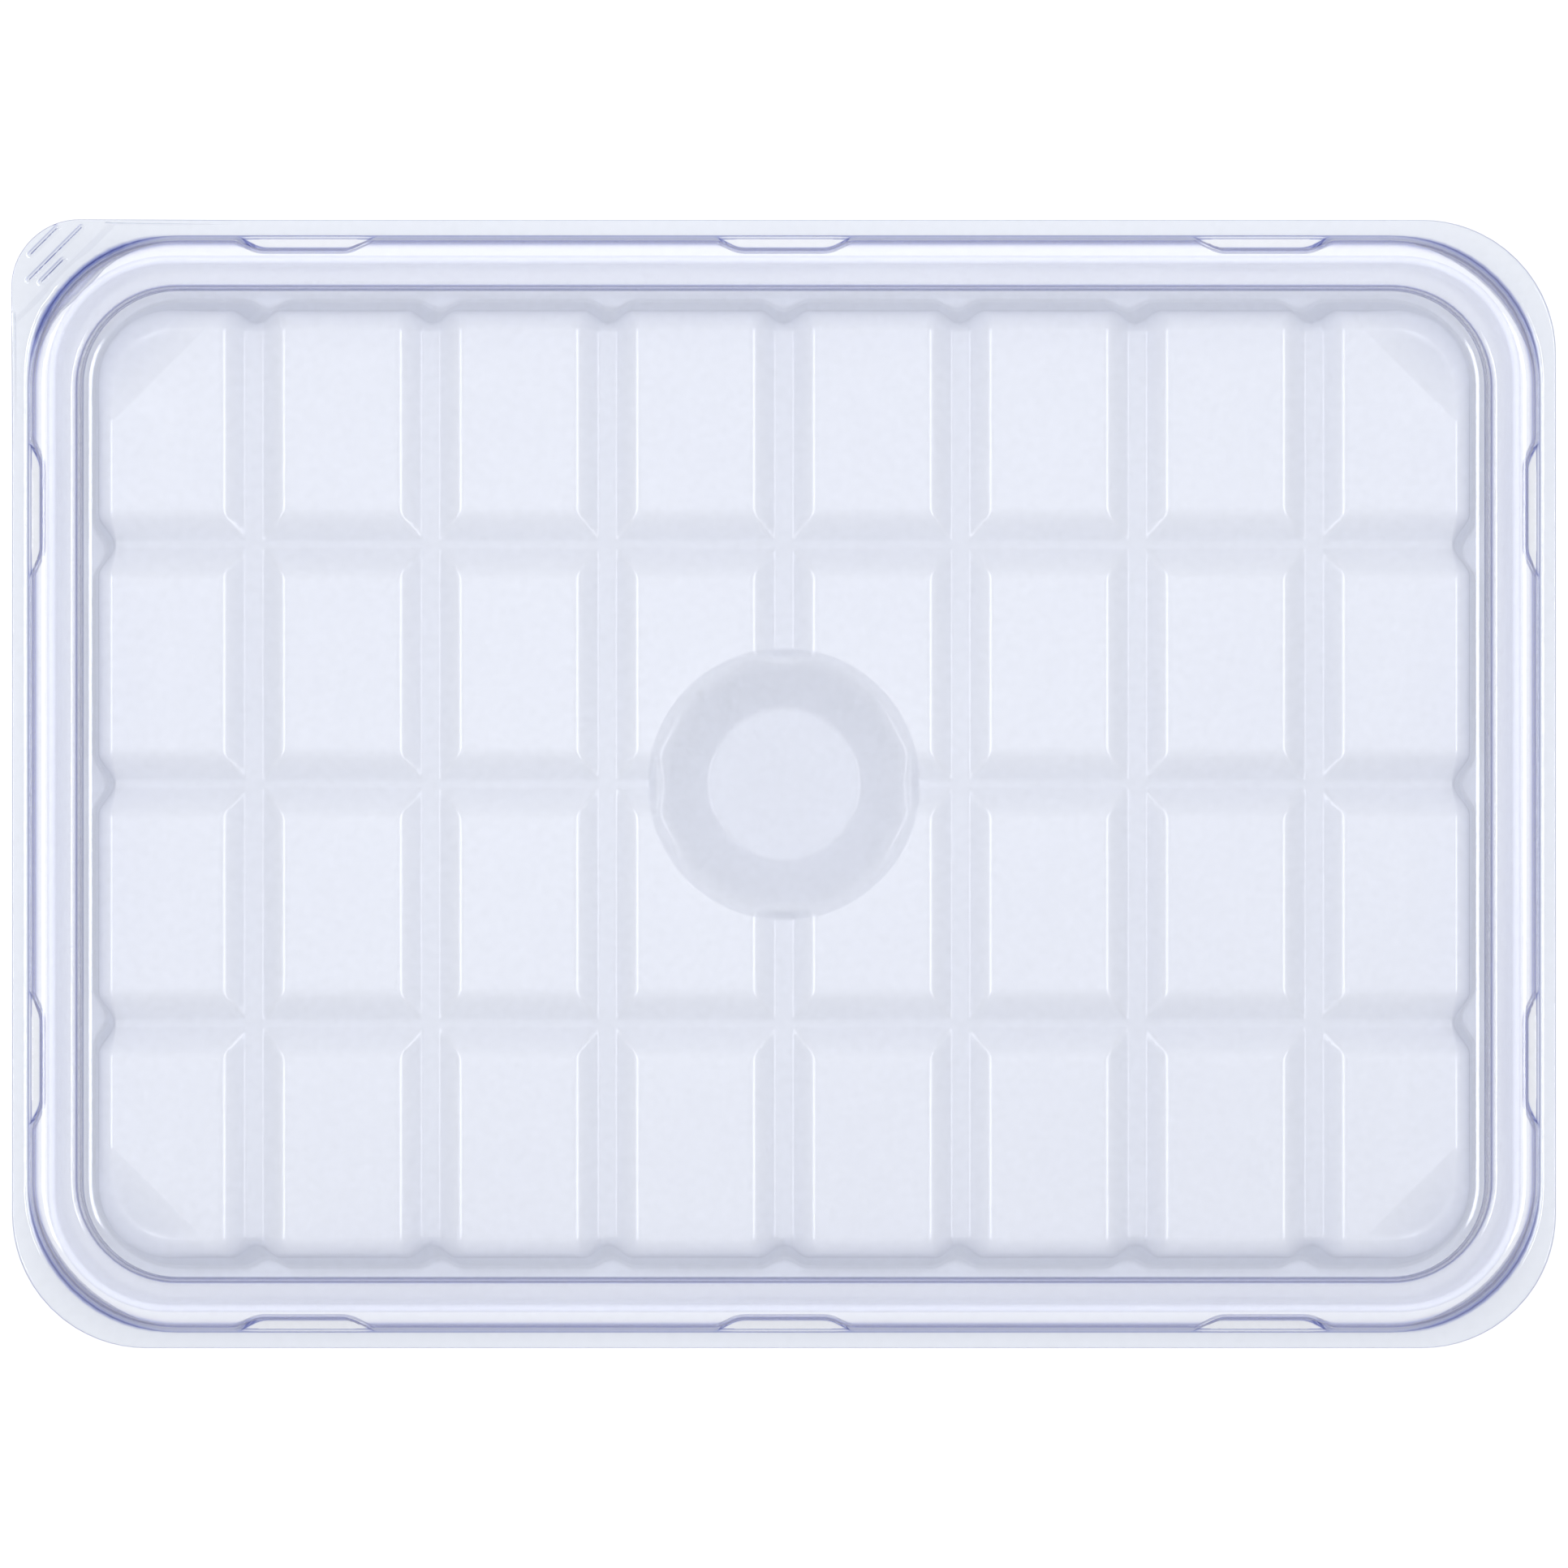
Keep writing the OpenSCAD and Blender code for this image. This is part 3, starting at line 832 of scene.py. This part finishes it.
# %% Flange and pull tab
def flange_edge(home):
    """Where a home goes on the flange's cut edge, a hair inside the CAD outline."""
    is_tab = home.x < 0 < home.y
    radius = TAB_RADIUS if is_tab else FLANGE_RADIUS
    return on_level(home, dome_core, flange - Vector((0.01, 0.01)), radius)


def fold_distance(at):
    """Distance past the tab's fold line, towards the corner."""
    return (at.y - at.x - (flange.x + flange.y - TAB_LEG)) / math.sqrt(2)


inner = flange_bend[-1]
FLANGE_STEPS = 8
for i in range(1, FLANGE_STEPS + 1):
    def place(home, share=i / FLANGE_STEPS):
        start = on_level(home, dome_core, inner["half"], inner["radius"])
        at = start.lerp(flange_edge(home), share)
        at.z = flange_top
        return at
    ring = extrude_ring(dome_bm, ring, place)
print("dome faces with the flange", len(dome_bm.faces))

# %% [markdown]
# The ridges are narrower than a step of the flange, so the flat faces round the tab are subdivided
# first. Faces that touch the skirt's bend are left out: their long shading is what turns the bend
# into one even line, and finer faces there would break it.

# %% Fold line and grip ridges
RIDGES = (9.2, 3.1, 1.3), (13.2, 6.2, 1.2), (15.6, 2.6, -1.2)  # reach, half length, shift along it
RIDGE_RISE, RIDGE_HALF_WIDTH = 0.6, 0.8
dome_bm.normal_update()
tab_faces = [f for f in dome_bm.faces if fold_distance(f.calc_center_median()) > -2.5
             and all(abs(near.normal.z) > 0.999 for v in f.verts for near in v.link_faces)]
tab_edges = {e for f in tab_faces for e in f.edges}
bmesh.ops.subdivide_edges(dome_bm, edges=list(tab_edges), cuts=5, use_grid_fill=True)


def ridge_rise(at):
    """Height of the grip ridges over the tab."""
    rise = 0.0
    for reach, half_length, shift in RIDGES:
        across = fold_distance(at) - (TAB_LEG - reach) / math.sqrt(2)
        along = abs((at.x + at.y + flange.x - flange.y) / math.sqrt(2) - shift)
        off = math.hypot(across, max(0, along - half_length))
        wave = 0.5 + 0.5 * math.cos(math.pi * min(1, off / RIDGE_HALF_WIDTH))
        rise = max(rise, RIDGE_RISE * wave)
    return rise


for v in dome_bm.verts:
    if v.co.z < flange_top + 0.01 and fold_distance(v.co) > -1.5:
        step_up = TAB_STEP * ramp(fold_distance(v.co) / 1.2 + 0.5, 0.3, 0.3)
        v.co.z = flange_top + step_up + ridge_rise(v.co)
dome = finish_sheet(dome_bm, "dome_sheet", DOME_SHEET, "dome", "dome", PET)

# %% [markdown]
# ## Studio
# The set stands on a light table of opal acrylic, lit from below. It fills the narrow gutter through
# the thin white sheet, and leaves hardly any shadow round the object. The acrylic is a matt white
# with a faint cloudiness.


# %% Light table
TABLE_GLOW = 0.43


def lit_acrylic():
    made, tree, out = blank("opal_acrylic_light_table")
    place = add(tree, "ShaderNodeTexCoord").outputs["Object"]
    cloud = add(tree, "ShaderNodeTexNoise", {"Vector": place}, Scale=1 / (80 * MM), Detail=2.0)
    tone = add(tree, "ShaderNodeMix", {"Factor": cloud.outputs["Fac"]}, data_type="RGBA")
    tone.inputs[6].default_value = linear("#bebebe")
    tone.inputs[7].default_value = linear("#bababa")
    shader = add(tree, "ShaderNodeBsdfPrincipled", {"Base Color": tone.outputs[2]}, Roughness=0.9,
                 Emission_Color=linear("#ffffff"), Emission_Strength=TABLE_GLOW)
    tree.links.new(shader.outputs[0], out.inputs["Surface"])
    return made


floor_mesh = bpy.data.meshes.new("floor")
floor_bm = bmesh.new()
bmesh.ops.create_grid(floor_bm, x_segments=1, y_segments=1, size=1.5)
floor_bm.to_mesh(floor_mesh)
floor_bm.free()
floor_mesh.materials.append(lit_acrylic())
floor = bpy.data.objects.new("floor", floor_mesh)
floor.location.z = -0.0002
bpy.context.scene.collection.objects.link(floor)
print("light table", tuple(floor.dimensions))

# %% [markdown]
# The sky is one white, at three strengths. Matt surfaces get a weak sky, so that the lamp overhead
# can shade the grooves. Gloss mirrors a bright ceiling straight above and dimmer walls all round,
# which is what tells a tilted facet from a level pad. Behind the object it is seen nearly white.


# %% Sky
SKY_ON_MATT, SKY_WALLS, SKY_CEILING, SKY_BEHIND = 0.45, 0.65, 1.0, 0.9


def white_sky():
    made = bpy.data.worlds.new("white_sky")
    made.use_nodes = True
    tree = made.node_tree
    ray = add(tree, "ShaderNodeLightPath")
    way = add(tree, "ShaderNodeTexCoord").outputs["Generated"]
    upwards = add(tree, "ShaderNodeSeparateXYZ", {"Vector": way}).outputs["Z"]
    mirrored = add(tree, "ShaderNodeMapRange", {"Value": upwards}, From_Min=0.68, From_Max=0.85,
                   To_Min=SKY_WALLS, To_Max=SKY_CEILING)
    lighting = add(tree, "ShaderNodeMix", {0: ray.outputs["Is Glossy Ray"], 3: mirrored.outputs[0]},
                   data_type="FLOAT")
    lighting.inputs[2].default_value = SKY_ON_MATT
    behind = add(tree, "ShaderNodeMath", {0: ray.outputs["Is Camera Ray"]}, operation="MULTIPLY")
    behind.inputs[1].default_value = SKY_BEHIND
    strength = add(tree, "ShaderNodeMath", {0: lighting.outputs[0], 1: behind.outputs[0]},
                   operation="MAXIMUM")
    background = tree.nodes["Background"]
    background.inputs["Color"].default_value = linear("#ffffff")
    tree.links.new(strength.outputs[0], background.inputs["Strength"])
    return made


scene = bpy.context.scene
scene.world = white_sky()
scene.view_settings.view_transform = "Standard"
scene.cycles.max_bounces = 20
scene.cycles.diffuse_bounces = 16
scene.cycles.transparent_max_bounces = 32
print("sky:", scene.world.name, "| light may bounce", scene.cycles.max_bounces, "times")

# %% [markdown]
# One large soft lamp overhead gives most of the light. Two strips beside it are seen by gloss alone:
# they draw the crisp lines along the pads' edges and the shine on the dome, and add nothing to matt
# surfaces.


# %% Lamps
def lamp(name, at, size, power):
    """A rectangular soft lamp, aimed at the middle of the object."""
    data = bpy.data.lights.new(name, "AREA")
    data.shape = "RECTANGLE"
    data.size, data.size_y = size
    data.energy = power
    made = bpy.data.objects.new(name, data)
    made.location = at
    made.rotation_euler = (-Vector(at)).to_track_quat("-Z", "Y").to_euler()
    scene.collection.objects.link(made)
    print(name, "at", at, "size", size, "with", power, "W")
    return made


lamp("overhead", (-0.02, 0.12, 1.1), (0.8, 0.5), 11.3).visible_glossy = False
for side, name in ((-1, "strip_left"), (1, "strip_right")):
    strip = lamp(name, (side * 0.8, 0, 1.0), (0.9, 0.28), 7.7)
    strip.visible_diffuse = False
    strip.visible_transmission = False

# %% [markdown]
# The camera looks straight down from about arm's length, through a longish lens.

# %% Camera
CAMERA_HEIGHT = 0.607
LENS, SENSOR = 81.242, 36.0
camera_data = bpy.data.cameras.new("camera")
camera_data.lens = LENS
camera_data.sensor_width = SENSOR
camera = bpy.data.objects.new("camera", camera_data)
camera.location = (0, 0, CAMERA_HEIGHT)
scene.collection.objects.link(camera)
scene.camera = camera
print("camera", CAMERA_HEIGHT, "m up, sees", CAMERA_HEIGHT * SENSOR / LENS, "m of the floor")

# %% [markdown]
# ## Finish
# The view layer is brought up to date.

# %% Finish
bpy.context.view_layer.update()
